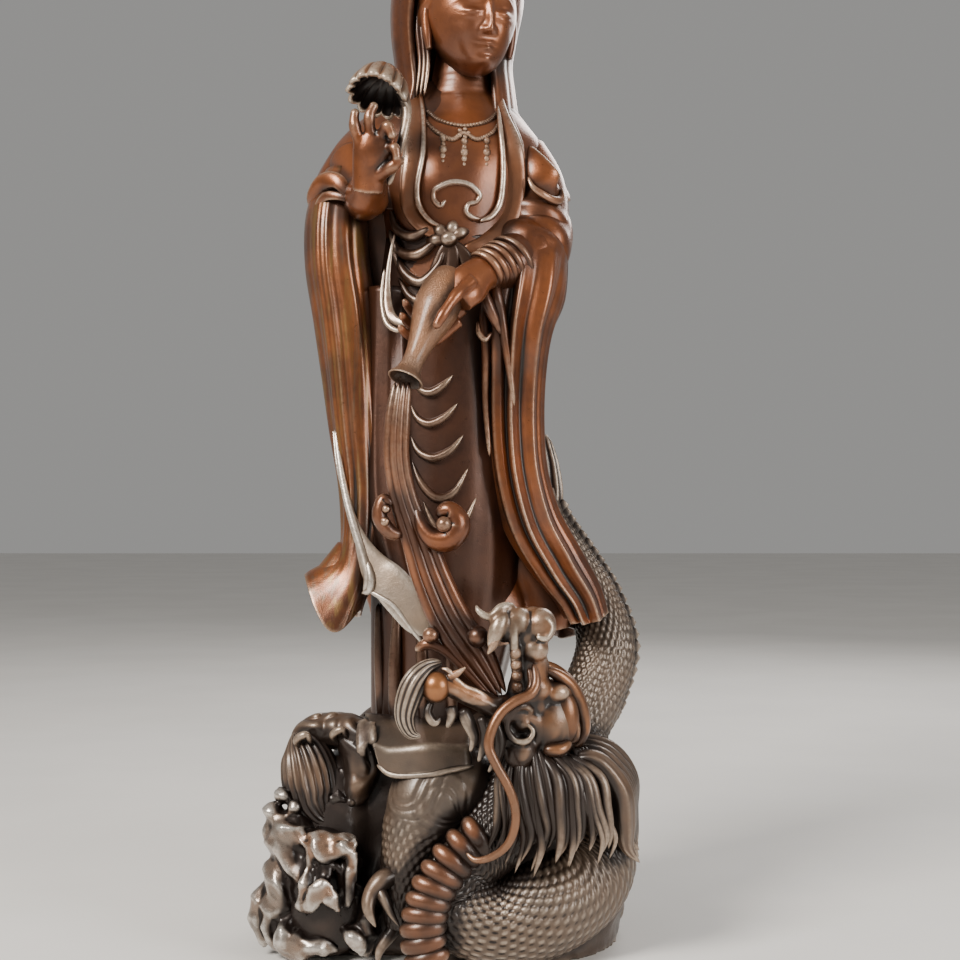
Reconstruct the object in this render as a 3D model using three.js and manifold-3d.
// A cast bronze Guanyin standing on a dragon: the goddess in a veil and a long robe, a lotus leaf in one
// hand and a tilted vase in the other, and a dragon round her feet that drinks the water she pours.
// Figure, dragon, waves and rock are one casting, so the part is one solid.
// Millimetres, +Z up, the front faces -Y, and the origin is the middle of the footprint on the ground.

import * as THREE from "three";
import { mergeVertices } from "three/addons/utils/BufferGeometryUtils.js";
import Module from "manifold-3d";

// Driving dimensions
const FIGURE_HEIGHT = 283; // from the rock ledge to the top of the veil
const LEDGE_HEIGHT = 72; // the rock ledge that she stands on, above the ground
const BASE_WIDTH = 128; // waves and coils, left to right
const BASE_DEPTH = 122; // from the dragon's beard to the waves behind

// Sizes that can be set by themselves
const VEIL_THICKNESS = 2.6;
const CLOTH_THICKNESS = 3; // the cape's wall
const LEAF_THICKNESS = 2;
const LAPEL_WIDTH = 4.6;
const LAPEL_THICKNESS = 2.4;
const HEM_RECESS = 9; // how far the hems are hollow from below
const VASE_LENGTH = 40;
const VASE_RADIUS = 7.2;
const FINGER_RADIUS = 1.5;
const STREAM_RADIUS = 2.1; // one strand of the water
const PEARL_RADIUS = 3;
const WHISKER_RADIUS = 1.3;
const SPINE_HEIGHT = 3.4; // fins along the dragon's back
const TOOTH_LENGTH = 4.5;
const LOCK_RADIUS = 2.6; // one lock of mane or beard
const SEAM_TOLERANCE = 0.1; // slivers thinner than this along the joins are merged away

// The heights and widths at which the carving was laid out. Points are shares of them.
const LAYOUT_FIGURE = 283;
const LAYOUT_LEDGE = 72;
const LAYOUT_WIDTH = 128;
const LAYOUT_DEPTH = 122;

const TAU = 2 * Math.PI;
const FRONT = -Math.PI / 2; // section angle that faces the viewer

const wasm = await Module();
wasm.setup();

// Layout helpers

/** A point on the goddess, from layout millimetres. */
function onFigure(x, y, z) {
  const share = FIGURE_HEIGHT / LAYOUT_FIGURE;
  return new THREE.Vector3(x * share, y * share, LEDGE_HEIGHT + (z - LAYOUT_LEDGE) * share);
}

/** A point on the dragon, the rock or the waves, from layout millimetres. */
function onBase(x, y, z) {
  return new THREE.Vector3(
    (x * BASE_WIDTH) / LAYOUT_WIDTH,
    (y * BASE_DEPTH) / LAYOUT_DEPTH,
    (z * LEDGE_HEIGHT) / LAYOUT_LEDGE,
  );
}

/** Values at share t of a row of equally spaced stations, on a smooth Catmull-Rom curve. */
function along(stations, t) {
  const last = stations.length - 1;
  const place = THREE.MathUtils.clamp(t, 0, 1) * last;
  const i = Math.min(Math.floor(place), last - 1);
  const f = place - i;
  return stations[0].map((_, k) => {
    const b = stations[i][k];
    const c = stations[i + 1][k];
    const a = i > 0 ? stations[i - 1][k] : 2 * b - c;
    const d = i + 2 <= last ? stations[i + 2][k] : 2 * c - b;
    return 0.5 * (2 * b + f * (c - a + f * (2 * a - 5 * b + 4 * c - d + f * (3 * b - 3 * c + d - a))));
  });
}

/** 0 below a, 1 above b, smooth between. */
function rise(a, b, x) {
  return THREE.MathUtils.smoothstep(x, a, b);
}

/** 1 below a, 0 above b, smooth between. */
function fall(a, b, x) {
  return 1 - rise(a, b, x);
}

/** A bump of height 1 at 0 and width w. */
function bump(x, w) {
  return Math.exp(-((x / w) ** 2));
}

// Closed geometries from surfaces

/** A geometry from points and triangles, turned so that its faces point out. */
function closed(points, triangles) {
  const geometry = new THREE.BufferGeometry();
  geometry.setFromPoints(points);
  let volume = 0;
  for (const [a, b, c] of triangles) {
    volume += points[a].dot(new THREE.Vector3().crossVectors(points[b], points[c]));
  }
  geometry.setIndex(triangles.flatMap(([a, b, c]) => (volume < 0 ? [a, c, b] : [a, b, c])));
  return geometry;
}

/** Skins closed rings of equal count, one after the other, and closes both ends on their middles. */
function skin(rings) {
  const count = rings[0].length;
  const points = rings.flat();
  const triangles = [];
  for (let i = 0; i + 1 < rings.length; i++) {
    for (let j = 0; j < count; j++) {
      const a = i * count + j;
      const b = i * count + ((j + 1) % count);
      triangles.push([a, b, b + count], [a, b + count, a + count]);
    }
  }
  for (const [start, turned] of [[0, true], [(rings.length - 1) * count, false]]) {
    const middle = new THREE.Vector3();
    for (let j = 0; j < count; j++) middle.addScaledVector(points[start + j], 1 / count);
    points.push(middle);
    for (let j = 0; j < count; j++) {
      const a = start + j;
      const b = start + ((j + 1) % count);
      triangles.push(turned ? [points.length - 1, b, a] : [points.length - 1, a, b]);
    }
  }
  return closed(points, triangles);
}

/** A wall of the given thickness behind the surface f(u, v), with u and v from 0 to 1. */
function wall(f, columns, rows, thickness) {
  const step = 1e-3;
  const grid = (i, j) => {
    const u = i / columns;
    const v = j / rows;
    const p = f(u, v);
    const du = f(Math.min(u + step, 1), v).sub(f(Math.max(u - step, 0), v));
    const vv = THREE.MathUtils.clamp(v, 2 * step, 1 - 2 * step);
    const dv = f(u, vv + step).sub(f(u, vv - step));
    const normal = du.lengthSq() < 1e-12 ? new THREE.Vector3(0, 0, 1) : du.cross(dv).normalize();
    return [p, p.clone().addScaledVector(normal, -thickness)];
  };
  const points = [];
  for (let i = 0; i <= columns; i++) for (let j = 0; j <= rows; j++) points.push(...grid(i, j));
  const at = (i, j, side) => 2 * (i * (rows + 1) + j) + side;
  const triangles = [];
  const quad = (a, b, c, d) => triangles.push([a, b, c], [a, c, d]);
  for (let i = 0; i < columns; i++) {
    for (let j = 0; j < rows; j++) {
      quad(at(i, j, 0), at(i + 1, j, 0), at(i + 1, j + 1, 0), at(i, j + 1, 0));
      quad(at(i, j, 1), at(i, j + 1, 1), at(i + 1, j + 1, 1), at(i + 1, j, 1));
    }
    quad(at(i, 0, 0), at(i, 0, 1), at(i + 1, 0, 1), at(i + 1, 0, 0));
    quad(at(i, rows, 0), at(i + 1, rows, 0), at(i + 1, rows, 1), at(i, rows, 1));
  }
  for (let j = 0; j < rows; j++) {
    quad(at(0, j, 0), at(0, j + 1, 0), at(0, j + 1, 1), at(0, j, 1));
    quad(at(columns, j, 0), at(columns, j, 1), at(columns, j + 1, 1), at(columns, j + 1, 0));
  }
  return closed(points, triangles);
}

/**
 * A tube through stations [x, y, z, half width, half depth]. The width lies along `side`, shape(angle, t)
 * gives [factor on the radius, lift along z] of the section, and `recess` hollows the far end.
 */
function tube(stations, options) {
  const { put, side = [1, 0, 0], sides = 6, steps = 6, start = 0, recess = 0, shape = () => [1, 0] } = options;
  const ring = (t, inset, inward) => {
    const [x, y, z, width, depth] = along(stations, t);
    const ahead = along(stations, Math.min(t + 0.01, 1));
    const behind = along(stations, Math.max(t - 0.01, 0));
    const [dx, dy, dz] = ahead.map((value, k) => value - behind[k]);
    const tangent = new THREE.Vector3(dx, dy, dz).normalize();
    const across = new THREE.Vector3(...(typeof side === "function" ? side(t) : side));
    across.addScaledVector(tangent, -across.dot(tangent)).normalize();
    const back = new THREE.Vector3().crossVectors(tangent, across);
    const points = [];
    for (let j = 0; j < sides; j++) {
      const angle = start + (TAU * j) / sides;
      const [factor, lift] = shape(angle, t);
      const w = Math.cos(angle) * Math.max(width, 0.2) * factor * inset;
      const d = Math.sin(angle) * Math.max(depth, 0.2) * factor * inset;
      points.push(put(
        x + across.x * w + back.x * d - tangent.x * inward,
        y + across.y * w + back.y * d - tangent.y * inward,
        z + across.z * w + back.z * d - tangent.z * inward + lift,
      ));
    }
    return points;
  };
  const rings = Array.from({ length: steps + 1 }, (_, i) => ring(i / steps, 1, 0));
  if (recess > 0) rings.push(ring(1, 0.82, recess * 0.5), ring(1, 0.45, recess));
  return skin(rings);
}

/** A ball, squashed to the three radii and turned about z. */
function ball(centre, radii, put, { turn = 0, columns = 10, rows = 6 } = {}) {
  const shape = new THREE.SphereGeometry(1, columns, rows);
  shape.scale(...radii).rotateZ(turn).translate(...centre);
  const place = shape.getAttribute("position");
  for (let i = 0; i < place.count; i++) {
    const p = put(place.getX(i), place.getY(i), place.getZ(i));
    place.setXYZ(i, p.x, p.y, p.z);
  }
  return shape;
}

/** Horizontal rings through stations [z, left, right, front, back], widened by shape(angle, t). */
function robe(stations, { put, sides, steps, power = 2, shape = () => [1, 0], recess = 0 }) {
  const rings = [];
  const ring = (t, inset, up) => {
    const [z, left, right, front, back] = along(stations, t);
    const points = [];
    for (let j = 0; j < sides; j++) {
      const angle = (TAU * j) / sides;
      const c = Math.cos(angle);
      const s = Math.sin(angle);
      const round = (Math.abs(c) ** power + Math.abs(s) ** power) ** (-1 / power);
      const [factor, lift] = shape(angle, t);
      const reach = round * factor * inset;
      points.push(put(
        (left + right) / 2 + (c * reach * (right - left)) / 2,
        (front + back) / 2 + (s * reach * (back - front)) / 2,
        z + lift + up,
      ));
    }
    return points;
  };
  if (recess > 0) rings.push(ring(0, 0.5, recess), ring(0, 0.85, recess * 0.5));
  for (let i = 0; i <= steps; i++) rings.push(ring(i / steps, 1, 0));
  return skin(rings);
}

/** A geometry as a manifold solid, with its doubled points merged and its empty faces dropped. */
function solid(geometry) {
  const bare = new THREE.BufferGeometry();
  bare.setAttribute("position", geometry.getAttribute("position"));
  bare.setIndex(geometry.index);
  const merged = mergeVertices(bare, 1e-3);
  const faces = [];
  const all = merged.index.array;
  for (let i = 0; i < all.length; i += 3) {
    const [a, b, c] = all.slice(i, i + 3);
    if (a !== b && b !== c && c !== a) faces.push(a, b, c);
  }
  return new wasm.Manifold(new wasm.Mesh({
    numProp: 3,
    vertProperties: merged.getAttribute("position").array,
    triVerts: new Uint32Array(faces),
  }));
}

// The goddess

const BODY_SECTIONS = [
  // z, left, right, front, back
  [64, -27, 15, -20, 18],
  [100, -28, 22, -24, 22],
  [130, -28, 26, -25, 24],
  [160, -27, 27, -25, 25],
  [190, -27, 27, -25, 25],
  [215, -25, 26, -25, 24],
  [232, -23, 25, -26, 22],
  [250, -26, 28, -27, 22],
  [264, -26, 31, -23, 20],
  [274, -15, 24, -15, 14],
  [282, -4.5, 16.5, -11, 9],
  [291, -1.5, 15, -10, 7],
  [301, -1, 15, -9, 7],
];

const CAPE_SECTIONS = [
  [244, -45.5, 39.5, -19, 29],
  [250, -45.5, 39, -20, 28.5],
  [258, -43, 36, -19, 26.5],
  [267, -37, 30.5, -17, 22.5],
  [275, -28, 24.5, -13, 18],
  [282, -15.5, 19, -9, 13],
  [286, -10, 16, -6, 10],
];

/** Neck, bare chest, belly and the inner skirt, as one column. */
function body() {
  return robe(BODY_SECTIONS, { put: onFigure, sides: 10, steps: 9 });
}

/** The front of a stack of sections at x and z. */
function frontOf(sections, x, z) {
  const last = sections.length - 1;
  const above = sections.findIndex((row) => row[0] >= z);
  const i = above < 0 ? last : Math.max(above, 1);
  const low = sections[i - 1];
  const high = sections[i];
  const share = THREE.MathUtils.clamp((z - low[0]) / (high[0] - low[0]), 0, 1);
  const [left, right, front, back] = [1, 2, 3, 4].map((k) => low[k] + share * (high[k] - low[k]));
  const across = (2 * x - left - right) / (right - left);
  return (front + back) / 2 + ((front - back) / 2) * Math.sqrt(Math.max(0, 1 - across ** 2));
}

/** A point `out` millimetres in front of her chest or cape, whichever is further forward. */
function onChest(x, z, out = 0) {
  return [x, Math.min(frontOf(BODY_SECTIONS, x, z), frontOf(CAPE_SECTIONS, x, z)) - out, z];
}

/** Swags across the front of the inner skirt: crescents that sag between the legs. */
function skirtSwags() {
  const count = 4;
  return Array.from({ length: count }, (_, i) => {
    const share = i / (count - 1);
    const half = 7 + 3.2 * share;
    const sag = 2.6 + 6.5 * share;
    const stations = [-1, -0.5, 0, 0.5, 1].map((s) => {
      const radius = 2 * (1 - s * s) + 0.3;
      const middle = -4.5 + 2.5 * share;
      return [middle + half * s, -24.4 + 3 * s * s, 181 - 36 * share + sag * s * s, radius, radius];
    });
    return tube(stations, { put: onFigure, side: [0, 0, 1], sides: 4, steps: 4 });
  });
}

/** The long outer robe behind her, with upright folds that deepen towards a hollow hem. */
function mantle() {
  const stations = [
    [101, -25, 45, -15, 33],
    [112, -27, 47, -14, 32],
    [126, -33, 42, -14, 30],
    [140, -36, 37, -13, 29],
    [160, -38, 33, -12, 29],
    [180, -40.5, 32.5, -12, 29],
    [200, -42.5, 34, -12, 29],
    [215, -44, 38.5, -12, 29],
    [235, -45, 39.5, -14, 28],
    [250, -43, 37, -16, 26],
    [262, -38, 31, -16, 23],
    [271, -30, 25, -13, 19],
    [278, -18, 18, -9, 14],
  ];
  const folds = 9;
  return robe(stations, {
    put: onFigure,
    sides: 2 * folds,
    steps: 6,
    power: 2.3,
    recess: HEM_RECESS,
    shape: (angle, t) => [
      1 + 0.06 * fall(0, 0.85, t) * Math.cos(folds * angle),
      -3 * fall(0, 0.12, t) * Math.sin(3 * angle),
    ],
  });
}

/** A hanging length of cloth with pleats; sway(angle) lengthens one side of its hollow hem. */
function drape(stations, { pleats, depth, sway, steps }) {
  return tube(stations, {
    put: onFigure,
    sides: 2 * pleats,
    steps,
    recess: HEM_RECESS,
    shape: (angle, t) => [
      1 + depth * rise(0.05, 0.5, t) * Math.cos(pleats * angle),
      sway(angle) * rise(0.6, 1, t),
    ],
  });
}

/** The wide sleeve that hangs from her raised right arm and ends in a flared tongue. */
function rightSleeve() {
  return drape([
    [-34, -8, 253, 7, 9],
    [-36.5, -11, 238, 10, 12],
    [-36.3, -12.5, 222, 10.5, 13],
    [-34, -13, 205, 10.5, 13],
    [-32, -13.5, 188, 10.3, 12.5],
    [-30.3, -14, 170, 9.8, 12],
    [-29, -14.5, 153, 9, 12],
    [-29.5, -16, 138, 8.6, 12],
    [-32.5, -18.5, 124, 9.5, 12.5],
    [-35.5, -21, 113.5, 11, 13.5],
    [-35.8, -21.5, 110, 11, 13.5],
  ], { pleats: 6, depth: 0.08, steps: 8, sway: (angle) => 3.5 * Math.sin(angle) - 2 });
}

/** The robe's front panel beside the sleeve, whose hem runs down to the dragon's jaw. */
function frontPanel() {
  return drape([
    [-19, -14, 215, 8, 10],
    [-19.5, -14.5, 190, 8.5, 10],
    [-20, -15, 165, 9, 11],
    [-19.5, -16.5, 145, 10, 12],
    [-16.5, -19, 126, 10.5, 12.5],
    [-13.5, -20.5, 112, 10.5, 13],
    [-12.5, -21, 107, 10.5, 13],
  ], { pleats: 5, depth: 0.06, steps: 5, sway: (angle) => -6 * Math.cos(angle) });
}

/** The cloth that falls from her left forearm, swinging out to the right at its hem. */
function leftDrape() {
  return drape([
    [22, -18, 218, 10, 10],
    [22, -18, 202, 10.8, 11],
    [22, -18, 186, 10.5, 11.5],
    [22.3, -18, 170, 10.5, 12],
    [24.3, -17.5, 154, 11, 12],
    [29, -17, 138, 12, 12],
    [36, -15, 124, 13, 12],
    [41.5, -12.5, 114, 12.5, 12],
    [43, -12, 111, 12.5, 12],
  ], { pleats: 6, depth: 0.09, steps: 8, sway: (angle) => -5.5 * Math.cos(angle) });
}

/** The short cape over both shoulders, with a flared lower edge. */
function cape() {
  return robe(CAPE_SECTIONS, {
    put: onFigure,
    sides: 14,
    steps: 4,
    power: 2.2,
    recess: CLOTH_THICKNESS,
    shape: (angle, t) => [1, 4 * fall(0, 0.4, t) * Math.cos(2 * angle)],
  });
}

/** Both arms in their sleeves, the raised right forearm and the left one that holds the vase. */
function arms() {
  const right = tube([
    [-32, -4, 254, 8, 10],
    [-28.5, -14, 242, 8.5, 9],
    [-24, -25, 238, 8.4, 8.4],
    [-23.4, -35, 244, 7.8, 7.8],
    [-23.8, -41.5, 253, 6.4, 6.4],
  ], { put: onFigure, sides: 7, steps: 5 });
  const left = tube([
    [24, 1, 259, 8, 8],
    [30, 0, 248, 9.5, 8.5],
    [32.3, -2, 236, 10, 8.6],
    [33, -8, 226, 9.5, 8.6],
    [26, -19, 221, 8.4, 8.4],
    [18, -28, 218.6, 8, 7.6],
    [12, -34, 217.5, 6.4, 6.2],
  ], { put: onFigure, side: [0.6, -0.8, 0.2], sides: 7, steps: 7 });
  return [right, left];
}

/** A finger through hand-chosen joints, thinning to its tip. */
function finger(joints, thick = 1) {
  const last = joints.length - 1;
  const stations = joints.map(([x, y, z], i) => {
    const radius = FINGER_RADIUS * thick * (1 - (0.35 * i) / last);
    return [x, y, z, radius, radius];
  });
  return tube(stations, { put: onFigure, side: [0, 1, 0.01], sides: 4, steps: joints.length - 1 });
}

/** Her raised right hand: palm, two fingers up, two bent to the stalk, and the thumb. */
function rightHand() {
  return [
    tube([
      [-23.6, -42, 251, 3.6, 3.2],
      [-23, -43.5, 256, 3.6, 2.8],
      [-22.2, -45, 261, 4.8, 2.8],
      [-21.8, -45.6, 264.5, 4.4, 2.2],
    ], { put: onFigure, steps: 3 }),
    finger([[-24.6, -45.5, 263], [-25.6, -46.6, 267], [-25.2, -46.4, 270.5]]),
    finger([[-22.2, -45.8, 264], [-22.2, -47, 268.5], [-20.8, -46.4, 272.5]]),
    finger([[-20, -45.6, 264], [-18.4, -48.4, 266], [-16.8, -48.6, 263]]),
    finger([[-18.6, -45.2, 262], [-16.6, -48, 262], [-16, -48.4, 259.5]], 0.9),
    finger([[-20, -44.5, 257], [-17, -47, 258.5], [-14, -47.5, 258]], 1.15),
  ];
}

/** Her left hand, folded round the vase's foot: thumb on top, fingertips behind. */
function leftHand() {
  return [
    tube([
      [15, -32, 217.5, 5, 4.6],
      [10.5, -37, 216, 4.8, 4.2],
      [6.5, -41.5, 212.5, 5.6, 4],
      [3.5, -44, 208, 4.4, 3.4],
    ], { put: onFigure, side: [0, 0.4, 1], steps: 3 }),
    finger([[7.5, -44.5, 214], [3.4, -49.5, 209.5], [-0.5, -52, 203.5], [-3, -53, 199.5]], 1.2),
    finger([[6, -39, 210], [-0.5, -38.5, 203], [-8, -40, 204], [-12.2, -44.5, 208.5]]),
    finger([[5, -39, 206], [-2.5, -39.5, 199], [-9.5, -42, 200.5], [-13, -46, 204]]),
    finger([[4, -40, 202], [-4, -42, 195.5], [-10.5, -45, 197.5], [-13.6, -48, 201]]),
  ];
}

/** The vase, tilted to pour, as a turned profile laid along its axis. */
function vase() {
  const profile = [
    // share of the length, share of the largest radius
    [0, 0],
    [0, 0.5],
    [0.06, 0.75],
    [0.28, 1],
    [0.45, 0.9],
    [0.74, 0.5],
    [0.92, 0.52],
    [1, 0.78],
    [0.99, 0.58],
    [0.9, 0],
  ];
  const shape = new THREE.LatheGeometry(
    profile.map(([length, radius]) => new THREE.Vector2(radius * VASE_RADIUS, length * VASE_LENGTH)),
    10,
  );
  const foot = onFigure(1.7, -38, 217.6);
  const mouth = onFigure(-12.7, -52, 182);
  const axis = mouth.clone().sub(foot).normalize();
  shape.applyQuaternion(new THREE.Quaternion().setFromUnitVectors(new THREE.Vector3(0, 1, 0), axis));
  return shape.translate(foot.x, foot.y, foot.z);
}

/** Water from the vase: a fluted stream that swings down into the dragon's mouth, with curls and pearls. */
function water() {
  const middle = [
    [-12.5, -51, 184],
    [-16.2, -50, 168],
    [-16, -46, 150],
    [-12.5, -42.5, 135],
    [-5.5, -43, 119],
    [4.5, -46, 102],
    [14.5, -48, 87],
  ];
  const stream = tube(middle.map(([x, y, z], i) => {
    const radius = STREAM_RADIUS * (1 - (0.4 * i) / (middle.length - 1));
    return [x, y, z, 2.3 * radius, 1.5 * radius];
  }), { put: onFigure, sides: 6, steps: 8, shape: (angle) => [1 + 0.12 * Math.cos(3 * angle), 0] });
  const hook = [[-1, 2.6, 0.6], [-0.8, 1, 0.9], [0.2, 0, 1], [1.5, 0, 1], [2.3, 1, 0.85], [1.8, 2.2, 0.5]];
  const curl = ([x, z], size, way) => tube(hook.map(
    ([across, up, wide]) => [x + way * across * size, -46.5, z + up * size, wide * size * 0.6, wide * size * 0.9],
  ), { put: onFigure, side: [0, 1, 0.01], sides: 4, steps: 6 });
  const pearls = [[-3.6, -47.5, 141, 1], [-3.4, -45, 106.6, 0.85], [9.6, -46.5, 104.6, 1.15]].map(
    ([x, y, z, share]) => ball([x, y, z], Array(3).fill(PEARL_RADIUS * share), onFigure, { columns: 6, rows: 4 }),
  );
  const splash = tube([
    [-9, -44, 103, 0.8, 0.8],
    [-5, -45, 101.8, 1.3, 1.4],
    [0, -46, 97.5, 1.3, 1.6],
    [13, -48, 84.5, 1.2, 1.4],
  ], { put: onFigure, sides: 4, steps: 4 });
  return [stream, curl([-8.6, 135], 4, 1), curl([-15.5, 137.5], 2.6, -1), ...pearls, splash];
}

/** The lotus leaf on its stalk beside the raised hand, drooping like a bonnet with a ribbed back. */
function lotus() {
  const ribs = 7;
  const leaf = wall((u, v) => {
    const angle = -0.35 + u * 3.6;
    const reach = Math.sin(v * 1.75) * 9.6;
    const rib = 1 + 0.09 * v * Math.cos(TAU * ribs * u);
    const across = Math.cos(angle) * reach * rib;
    const up = Math.sin(angle) * reach * rib;
    const droop = 1 - Math.cos(v * 1.75);
    const x = -14.8 - 7.5 * droop + across * 0.62;
    return onFigure(x, -44.5 - across * 0.55, 272 + up * 0.85 + 1.6 * droop);
  }, 14, 2, -LEAF_THICKNESS);
  const stalk = tube([
    [-18, -42, 244, 1.3, 1.3],
    [-16.5, -43.5, 251, 1.4, 1.4],
    [-14, -45.5, 258, 1.4, 1.4],
    [-13.4, -45, 265, 1.5, 1.5],
    [-14.4, -43.5, 271.5, 1.9, 1.9],
  ], { put: onFigure, sides: 5, steps: 5 });
  return [leaf, stalk];
}

/** Her head, turned to her left: an egg with hair, brow, nose, lips and chin. */
function head() {
  const centre = [6.2, -8.5, 311.5];
  const turn = THREE.MathUtils.degToRad(25);
  const shape = new THREE.SphereGeometry(1, 14, 12);
  const place = shape.getAttribute("position");
  for (let i = 0; i < place.count; i++) {
    const x = place.getX(i);
    const y = -place.getZ(i);
    const z = place.getY(i);
    const front = Math.max(0, -y);
    const jaw = 1 - 0.26 * rise(0.05, 1, -z) * (0.4 + 0.6 * Math.abs(x));
    const nose = 2.6 * bump(x, 0.13) * fall(-0.2, 0.35, z) * rise(-0.42, -0.28, z) * rise(0.7, 0.95, front);
    const chin = 0.8 * bump(x, 0.3) * bump(z + 0.78, 0.14) * rise(0.2, 0.5, front);
    const hair = 1.6 * rise(0.45, 0.62, z + 0.75 * rise(-0.6, 0.3, y));
    const out = nose + chin + hair;
    const wide = (13.2 * jaw + out) * x;
    const deep = 15.5 * (y + 0.12 * rise(0, 0.8, -z) * front) + out * y;
    const p = onFigure(
      centre[0] + wide * Math.cos(turn) - deep * Math.sin(turn),
      centre[1] + wide * Math.sin(turn) + deep * Math.cos(turn),
      centre[2] + (20 + hair) * z,
    );
    place.setXYZ(i, p.x, p.y, p.z);
  }
  return mergeVertices(shape, 1e-4);
}

/** The topknot, a leaf-shaped tiara and the long ears. */
function hair() {
  const knot = ball([4.6, -3, 340], [8, 8.5, 13], onFigure, { columns: 8, rows: 5 });
  const tiara = wall((u, v) => {
    const angle = FRONT + 0.44 + (u - 0.5) * 2.3;
    const height = 3 + 7 * Math.cos((u - 0.5) * Math.PI) ** 2;
    return onFigure(5.6 + 14.8 * Math.cos(angle), -6.8 + 16.6 * Math.sin(angle), 324 + height * v);
  }, 8, 1, 2.4);
  const ears = [-1, 1].map((way) => {
    const x = 6.2 + way * 12.2;
    const y = -8.5 + way * 5.4;
    return tube([
      [x, y, 314, 1.4, 2.6],
      [x + way * 0.7, y, 308, 1.8, 3.2],
      [x + way * 0.4, y - 0.6, 300, 1.7, 2.5],
      [x, y - 0.8, 292.5, 1.2, 1.4],
    ], { put: onFigure, sides: 5, steps: 4 });
  });
  return [knot, tiara, ...ears];
}

/** The veil: a wall from the top of the topknot, open in front, down to the shoulders. */
function veil() {
  const stations = [
    // z, left, right, front, back
    [354.6, 1.8, 6.2, -3.5, 2.5],
    [351.5, -4.5, 13, -9, 9],
    [344, -9.5, 18, -14, 15],
    [334, -13, 21, -17, 20],
    [323, -15.8, 22.6, -18, 23],
    [313, -17.2, 22.8, -17, 24],
    [303, -17.2, 20.6, -15, 24],
    [293, -16, 17.4, -13, 23],
    [284, -14.6, 17.2, -12, 21.5],
    [275, -18, 20, -12, 21],
  ];
  return wall((u, v) => {
    const [z, left, right, front, back] = along(stations, v);
    const open = 0.42 + 0.3 * rise(0.15, 0.6, v);
    const angle = FRONT + open + u * (TAU - 2 * open);
    const wave = 1 + 0.015 * rise(0.3, 0.9, v) * Math.cos(9 * angle);
    return onFigure(
      (left + right) / 2 + (Math.cos(angle) * wave * (right - left)) / 2,
      (front + back) / 2 + (Math.sin(angle) * wave * (back - front)) / 2,
      z,
    );
  }, 10, 6, VEIL_THICKNESS);
}

/** A flat band of cloth laid through points on her front. */
function band(points, width = LAPEL_WIDTH, thickness = LAPEL_THICKNESS, steps = 7) {
  const stations = points.map(([x, y, z]) => [x, y, z, width * Math.SQRT1_2, thickness * Math.SQRT1_2]);
  return tube(stations, { put: onFigure, sides: 4, steps, start: Math.PI / 4 });
}

/** The collar's lapels, the knotted sash with its ends, and the scarf loops on her right. */
function sash() {
  const laid = (points, out = 0.4) => points.map(([x, z]) => onChest(x, z, out));
  const lapels = [
    [[-10.5, 288], [-13, 283], [-9.6, 276], [-8.3, 265], [-11, 255], [-12.4, 245], [-9, 237], [-1, 231.5]],
    [[16.4, 288], [17.6, 281], [19.2, 269], [20, 258], [19.4, 248], [16.5, 240], [11, 234], [4, 231]],
  ].map((points) => band(laid(points)));
  const knot = ball(onChest(3, 231.5, 0.8), [5.2, 3, 3.4], onFigure, { columns: 7, rows: 4 });
  const ends = [[-6, 209], [8.5, 213]].map(([x, z]) => band(
    laid([[3, 231], [1.5 + 0.5 * x, 226], [x, z]], 0.8), 5, 2.6, 2,
  ));
  const edge = [[-4, 243], [-4, 247.5], [3, 248.6], [8, 245], [6, 239.5], [9, 237.2], [14, 239]];
  const scroll = band(laid(edge), 2, 2, 7);
  const loops = [[232, 229], [219, 217]].map(([z, low]) => band(
    [[-20, -21, z + 3], [-15.5, -25.5, low], [-9, -26.4, low + 1], [-4, -26, z + 4]], 2.8, 3, 3,
  ));
  const scarf = tube([
    [-18.5, -20, 240, 2.6, 3],
    [-19.8, -20.5, 224, 3.2, 3.4],
    [-19.6, -21, 209, 3.4, 3.4],
    [-14, -24.4, 200.5, 2.4, 2],
  ], { put: onFigure, sides: 5, steps: 4 });
  return [...lapels, knot, ...ends, scroll, ...loops, scarf];
}

/** The necklace: a sagging chain with three drops. */
function necklace() {
  const sag = [[-5.5, 267], [0, 263], [6, 261], [12, 262], [17, 265.5]];
  const chain = band(sag.map(([x, z]) => onChest(x, z, 0.5)), 1.6, 2, 6);
  const drops = [0, 1, 2].map((i) => ball(
    onChest(0.5 + 6 * i, 259 - 2.6 * (i % 2), -0.3), [1.4, 2.4, 3.4], onFigure, { columns: 5, rows: 3 },
  ));
  return [chain, ...drops];
}

// The dragon

const BEND = [5, -36.5, 19, 16.6, 16.6]; // where the body turns up into the neck
const BODY_PATH = [
  // x, y, z, half width, half depth, from the tail to the skull
  [33.6, 9, 150, 2.6, 2.6],
  [35.4, 9, 139, 4.8, 4.8],
  [42, 9, 126, 7, 7],
  [49, 7.5, 112, 8.7, 8.7],
  [53, 3, 96.5, 9.8, 9.8],
  [48, -1, 80, 10.4, 10.4],
  [41.5, -5, 66, 11.4, 11.4],
  [44, -12, 48, 13.4, 13.4],
  [44, -22, 27, 15.8, 15.8],
  [26, -33, 17, 16.2, 16.2],
  BEND,
  [13.5, -35, 34, 14.6, 14.6],
  [22.5, -32, 50, 13, 13],
  [29, -30, 64, 11.8, 11.8],
  [32, -31, 76, 10.5, 10.5],
];

/** Which way the dragon's back faces at share t of its body. */
function backOf(t) {
  const turns = [
    [1, 0, 0.5],
    [1, 0, 0.4],
    [1, 0.1, 0.3],
    [1, 0.1, 0],
    [1, 0.3, -0.1],
    [0.7, 0.8, 0],
    [0.3, 1, 0.3],
    [0, 0.7, 0.9],
    [0.3, 0.5, 0.9],
    [0.9, 0.4, 0.3],
    [0.9, 0.5, 0],
    [0.9, 0.5, 0],
  ];
  return along(turns, t);
}

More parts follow.
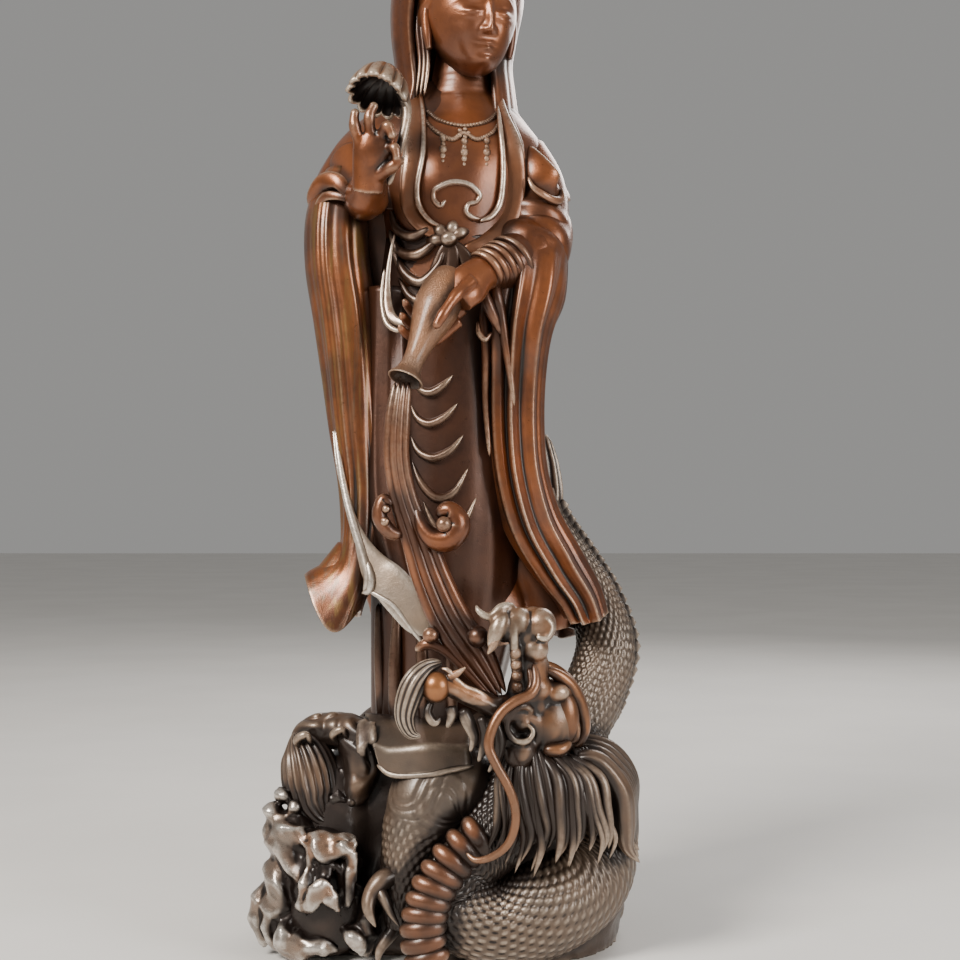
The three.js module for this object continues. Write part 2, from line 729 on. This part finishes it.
/** A point at share t of the body, `out` millimetres from its middle towards the back. */
function offBody(t, out) {
  const [x, y, z] = along(BODY_PATH, t);
  const back = new THREE.Vector3(...backOf(t)).setLength(out);
  return [x + back.x, y + back.y, z + back.z];
}

/** The scaly body: a long tube that loops out at the right, turns under the beard and rises as the neck. */
function dragonBody() {
  return tube(BODY_PATH, { put: onBase, side: backOf, sides: 8, steps: 22 });
}

/** Fins that stand along the dragon's back and point to the tail. */
function spine() {
  const count = 12;
  return Array.from({ length: count }, (_, i) => {
    const t = 0.05 + (0.33 * i) / (count - 1);
    const radius = along(BODY_PATH, t)[3];
    const [bx, by, bz] = offBody(t, radius - 1.6);
    const [tx, ty, tz] = offBody(t, radius + 0.7 * SPINE_HEIGHT);
    return tube([[bx, by, bz - 2, 1.2, 3.6], [tx, ty, tz + 1.6, 0.3, 0.3]],
      { put: onBase, side: [0, 1, 0], sides: 4, steps: 1 });
  });
}

/** The spoon-shaped tail fin beside her robe. */
function tailFin() {
  return tube([
    [34, 9, 139, 2.6, 3],
    [35, 9.5, 147, 3.6, 2.6],
    [34.6, 10, 157, 2.8, 2],
    [33.2, 10, 165, 2, 1.6],
    [32.8, 10, 168.4, 0.7, 0.7],
  ], { put: onBase, sides: 5, steps: 5 });
}

/** Broad plates that cross the belly side of the neck's bend. */
function bellyPlates() {
  const [x, y, z, radius] = BEND;
  const count = 6;
  return Array.from({ length: count }, (_, i) => {
    const turn = THREE.MathUtils.degToRad(100 + (115 * i) / (count - 1));
    const centre = [x + 1.5 + Math.cos(turn) * (radius - 1.6), y - 7.5, z + 1 + Math.sin(turn) * radius];
    return ball(centre, [6, 7, 2.8], onBase, { columns: 6, rows: 4 });
  });
}

/** A curved tapering lock of mane, beard or wave. */
function lock(points, { width = LOCK_RADIUS, flat = 0.8, steps = 4, sides = 4, side = [1, 0, 0] } = {}) {
  const stations = points.map(([x, y, z], i) => {
    const share = i / (points.length - 1);
    const radius = width * (i === 0 ? 0.75 : 1 - 0.85 * share ** 1.6);
    return [x, y, z, radius, radius * flat];
  });
  return tube(stations, { put: onBase, side, sides, steps });
}

/** Skull, upper jaw thrown up, lower jaw thrown out to the left, nose, brow, cheek and ear. */
function dragonHead() {
  const skull = ball([33.5, -37, 78], [11, 12.5, 13], onBase, { columns: 8, rows: 5 });
  const upperJaw = tube([
    [31, -41, 82, 8, 9.5],
    [26.5, -46, 91, 6.2, 8.5],
    [24.4, -49, 99, 5.4, 7.4],
    [24.4, -50, 106, 6.4, 7],
    [24.6, -50, 111.5, 5.6, 5.6],
    [24.6, -50, 114, 2.4, 2.6],
  ], { put: onBase, sides: 6, steps: 5 });
  const nostrils = [
    ball([20.4, -53.5, 108.5], [3.6, 4, 5], onBase, { columns: 6, rows: 4 }),
    ball([29.8, -53, 108.5], [4.2, 4.2, 5.6], onBase, { columns: 6, rows: 4 }),
  ];
  const lowerJaw = tube([
    [29, -41, 76, 6.5, 9.5],
    [20, -46.5, 80, 4.6, 8.5],
    [11, -51, 84, 3.8, 7.5],
    [3.5, -54.5, 88.5, 3.6, 6.6],
    [-3, -56, 91, 4.4, 5.4],
    [-6, -56.5, 91, 2.6, 3],
  ], { put: onBase, side: [0.35, 0, 1], sides: 6, steps: 5 });
  const horn = tube([
    [30.5, -48.5, 94, 1.6, 2.2],
    [36, -45, 92.5, 2.8, 3.6],
    [41.5, -40, 87, 3.4, 4.4],
    [43.6, -37.5, 78, 4.4, 4.6],
    [42, -38, 70, 3.4, 3.4],
    [38.5, -40, 64, 1.4, 1.4],
  ], { put: onBase, side: [0, 1, 0.01], sides: 6, steps: 5 });
  const cheek = ball([34.5, -48.5, 76.5], [4.2, 4.4, 8.5], onBase, { columns: 6, rows: 4 });
  const chin = lock(
    [[0, -57, 92], [-6, -58, 91.5], [-11.5, -57.5, 86], [-13, -56, 79], [-8.5, -55.5, 75.5]],
    { width: 5.4, flat: 1.1, steps: 5, sides: 6, side: [0, 1, 0.01] },
  );
  return [skull, upperJaw, ...nostrils, lowerJaw, horn, cheek, chin];
}

/** Fangs and a row of back teeth in the open mouth. */
function teeth() {
  const fang = ([x, y, z], [dx, dy, dz]) => tube(
    [[x, y, z, 1.6, 1.6], [x + dx * TOOTH_LENGTH, y + dy * TOOTH_LENGTH, z + dz * TOOTH_LENGTH, 0.3, 0.3]],
    { put: onBase, side: [0, 1, 0.01], sides: 4, steps: 1 },
  );
  const back = Array.from({ length: 4 }, (_, i) => ball(
    [21.2 + i, -50.5 + i, 99.5 - 3.8 * i], [1.8, 1.9, 1.9], onBase, { columns: 5, rows: 3 },
  ));
  return [fang([18, -53.5, 105.5], [-0.7, -0.2, -0.9]), fang([2, -56.5, 91.5], [0.9, -0.1, 0.6]), ...back];
}

/** The long whisker, the beard under the jaw and the flame-like mane. */
function mane() {
  const path = [
    [29, -53, 96],
    [27, -56, 88.5],
    [20, -59, 84.5],
    [14, -60, 78.5],
    [13, -60, 71],
    [15.5, -59.5, 63],
    [19.5, -59, 55.5],
    [21, -58, 47],
    [18.4, -56.5, 40.5],
    [13.5, -54.5, 37.6],
    [9, -52.5, 38.4],
  ];
  const thick = (i) => WHISKER_RADIUS * (1.3 - 0.05 * i);
  const whisker = tube(path.map(([x, y, z], i) => [x, y, z, thick(i), thick(i)]),
    { put: onBase, side: [0, 1, 0.01], sides: 4, steps: 12 });
  const locks = 6;
  const beard = tube([
    [31, -41, 74, 9, 7],
    [32, -45, 64, 14, 8],
    [34, -46.5, 54, 17, 7.5],
    [36.5, -46.5, 46, 17.5, 6],
    [38, -46, 41, 15, 3.5],
  ], {
    put: onBase,
    sides: 2 * locks,
    steps: 4,
    shape: (angle, t) => [
      1 + 0.15 * rise(0, 0.5, t) * Math.cos(locks * angle),
      -4 * t * Math.cos(locks * angle),
    ],
  });
  const flames = Array.from({ length: 4 }, (_, i) => {
    const share = i / 3;
    const y = -41 + 24 * share;
    return lock([
      [41, y, 66 + 3 * share],
      [49 + 4 * share, y, 63],
      [55 + 4 * share, y + 1, 52],
      [56.5 + 3 * share, y + 2, 42],
      [60.5 + 2 * share, y + 4, 33.5],
    ], { width: 5, steps: 5, sides: 5, side: [0, 1, 0.2] });
  });
  const tufts = [-1, 5, 11].map((x) => lock(
    [[x + 3, -51, 86], [x, -54, 78], [x + 3, -54, 71]], { width: 2.8, steps: 2 },
  ));
  return [whisker, beard, ...flames, ...tufts];
}

/** The foreleg under the ledge, with its claws on the rock. */
function foreleg() {
  const leg = tube([
    [8, -26, 57, 7, 7],
    [2, -33, 54, 11.5, 9.5],
    [-5, -36, 48, 11, 9.5],
    [-9.5, -36, 37, 8.4, 8],
    [-14.5, -37, 27, 7, 6.5],
    [-22, -40, 21, 5.4, 5],
    [-26, -41, 18, 3, 3],
  ], { put: onBase, sides: 7, steps: 8 });
  const claws = [0, 1, 2].map((i) => lock(
    [[-16 - 5 * i, -39, 20 + i], [-15.5 - 5.5 * i, -44, 19 + i], [-14.5 - 5.5 * i, -46, 11 + i]],
    { flat: 1, steps: 3 },
  ));
  return [leg, ...claws];
}

// Rock and waves

/** The rock under everything: a lumpy block, flat below, with a spur that carries the waves at the left. */
function rock() {
  const stations = [
    [-2, -57, 57, -44, 54],
    [14, -57, 57, -45, 54.5],
    [30, -54, 54, -42, 52],
    [44, -48, 49, -36, 47],
    [56, -43, 38, -31, 42],
    [68, -36, 26, -27, 35],
    [76.5, -26, 14, -20, 26],
  ];
  const block = robe(stations, {
    put: onBase,
    sides: 13,
    steps: 4,
    power: 2.5,
    shape: (angle, t) => {
      const lumps = 0.045 * Math.cos(5 * angle + 9 * t) + 0.03 * Math.cos(8 * angle - 14 * t);
      return [1 + lumps * rise(0, 0.15, t), 0];
    },
  });
  return [block, ball([-37, -18, 28], [18, 15, 34], onBase, { columns: 7, rows: 5 })];
}

/** The smooth slab at her feet that slopes forward over the dragon's leg. */
function ledge() {
  return wall((u, v) => {
    const arch = 1 - (2 * u - 1) ** 2;
    const x = -27 + 38 * u + 3 * v * (1 - u);
    return onBase(x, -8 - 33 * v - 3 * arch * v, 77.5 - 12.6 * v ** 2 + 1.5 * arch);
  }, 6, 3, -5);
}

/** A breaking wave crest: a fluted claw of water that rises from the rock and curls over. */
function crest([x, y, z], turn, size) {
  const profile = [
    [-0.9, -0.4, 0.5],
    [-0.1, 0.25, 0.75],
    [0.55, 0.3, 0.95],
    [0.95, -0.15, 0.95],
    [0.9, -0.8, 0.7],
    [0.55, -1.35, 0.12],
  ];
  const stations = profile.map(([out, up, wide]) => [
    x + Math.sin(turn) * out * size,
    y - Math.cos(turn) * out * size,
    z + up * size,
    wide * size * 0.8,
    wide * size * 0.55,
  ]);
  return tube(stations, {
    put: onBase,
    side: [Math.cos(turn), Math.sin(turn), 0.01],
    sides: 6,
    steps: 5,
    shape: (angle) => [1 + 0.1 * Math.cos(3 * angle), 0],
  });
}

/** A scroll of foam: a lobed bowl with a thick rim that faces away from the rock. */
function foam([x, y, z], width, height, turn) {
  const rings = [[0.6, -9], [1, 0], [0.8, 1.8], [0.35, -0.6]];
  const lobes = 3;
  return skin(rings.map(([reach, out]) => Array.from({ length: 7 }, (_, j) => {
    const angle = (TAU * j) / 7;
    const across = Math.cos(angle) * reach * width * (1 + 0.14 * Math.cos(lobes * angle));
    const up = Math.sin(angle) * reach * height;
    return onBase(
      x + across * Math.cos(turn) + out * Math.sin(turn),
      y + across * Math.sin(turn) - out * Math.cos(turn),
      z + up,
    );
  })));
}

/** Waves round the rock: a great crest at the left, foam scrolls, curling tongues and beads of spray. */
function waves() {
  const crests = [
    crest([-41, -21, 62], -0.95, 11),
    crest([-40, 16, 50], -1.9, 11),
    crest([4, 38, 52], 3.1, 11),
    crest([40, 22, 48], 2.1, 11),
  ];
  const top = tube([
    [-44, -20, 68, 3.4, 3.4],
    [-37, -21, 72.5, 4.2, 4.2],
    [-29, -21, 70, 4.4, 4.4],
    [-27, -24, 58, 3.2, 3.6],
    [-28, -27, 46, 1.2, 1.4],
  ], {
    put: onBase,
    side: [0, 1, 0.01],
    sides: 5,
    shape: (_, t) => [1 + 0.16 * Math.cos(TAU * 3 * t), 0],
  });
  const scrolls = [
    foam([-50.5, -34, 31], 8.5, 8.5, -0.75),
    foam([-38.5, -39, 28], 8.5, 9.5, -0.15),
    ...[-2.1, -2.75, 2.65, 1.7].map((turn) => foam(
      [54 * Math.sin(turn), 5 - 48 * Math.cos(turn), 22], 12, 12, turn,
    )),
  ];
  const tongues = [
    [[-46, -22, 52], [-54, -22, 54], [-57.5, -24, 47], [-50, -30, 41]],
    [[-50, -24, 32], [-56.5, -26, 26], [-59.5, -27, 14], [-57, -27, 3]],
    [[-38, -26, 10], [-49, -33, 7], [-54, -35, 14], [-50, -32, 24]],
    [[-40, -36, 28], [-46, -43, 26], [-47.5, -45, 20], [-45, -44, 15]],
    [[-40, -36, 28], [-36, -43, 26], [-33, -45, 20], [-32, -45, 15]],
    [[-32, -34, 8], [-36, -45, 6], [-42, -49, 11], [-47, -46, 10]],
    ...[-1.75, -2.45, 3.1, 2.3].map((turn) => [0.85, 1.02, 1.06, 0.94].map((reach, i) => [
      57 * reach * Math.sin(turn + 0.06 * i),
      3 - 51 * reach * Math.cos(turn + 0.06 * i),
      3 + 8 * i,
    ])),
  ].map((points) => lock(points, { width: 5.5, steps: 3, side: [0.3, 1, 0.1] }));
  return [...crests, top, ...scrolls, ...tongues];
}

/** The ground plane cuts everything off flat below. */
function ground() {
  const size = 4 * (BASE_WIDTH + BASE_DEPTH);
  return new THREE.BoxGeometry(size, size, size).translate(0, 0, -size / 2);
}

/** Joins every form into one solid, cuts it flat at the ground and centres it over the origin. */
function casting() {
  const forms = [
    body(), ...skirtSwags(), mantle(), rightSleeve(), frontPanel(), leftDrape(), cape(), ...arms(),
    ...rightHand(), ...leftHand(), vase(), ...water(), ...lotus(), head(), ...hair(), veil(),
    ...sash(), ...necklace(), dragonBody(), ...spine(), tailFin(), ...bellyPlates(),
    ...dragonHead(), ...teeth(), ...mane(), ...foreleg(), ...rock(), ledge(), ...waves(),
  ];
  const joined = forms.map(solid).reduce((whole, form) => whole.add(form));
  const skins = joined.subtract(solid(ground())).simplify(SEAM_TOLERANCE).decompose();
  // Joins can close off small pockets: only the outer skin is kept.
  const outer = skins.reduce((largest, one) => (one.volume() > largest.volume() ? one : largest));
  const { min, max } = outer.boundingBox();
  return outer.translate([-(min[0] + max[0]) / 2, -(min[1] + max[1]) / 2, 0]);
}

/** A manifold solid as a three.js geometry. */
function geometryOf(made) {
  const mesh = made.getMesh();
  const geometry = new THREE.BufferGeometry();
  geometry.setAttribute("position", new THREE.BufferAttribute(Float32Array.from(mesh.vertProperties), 3));
  geometry.setIndex(new THREE.BufferAttribute(Uint32Array.from(mesh.triVerts), 1));
  geometry.computeVertexNormals();
  return geometry;
}

const bronze = new THREE.MeshStandardMaterial({ color: 0x5a3320, roughness: 0.38, metalness: 0.75 });
const figure = new THREE.Mesh(geometryOf(casting()), bronze);
figure.name = "guanyin_on_dragon";

const part = new THREE.Group();
part.name = "guanyin_figure";
part.add(figure);

export default part;
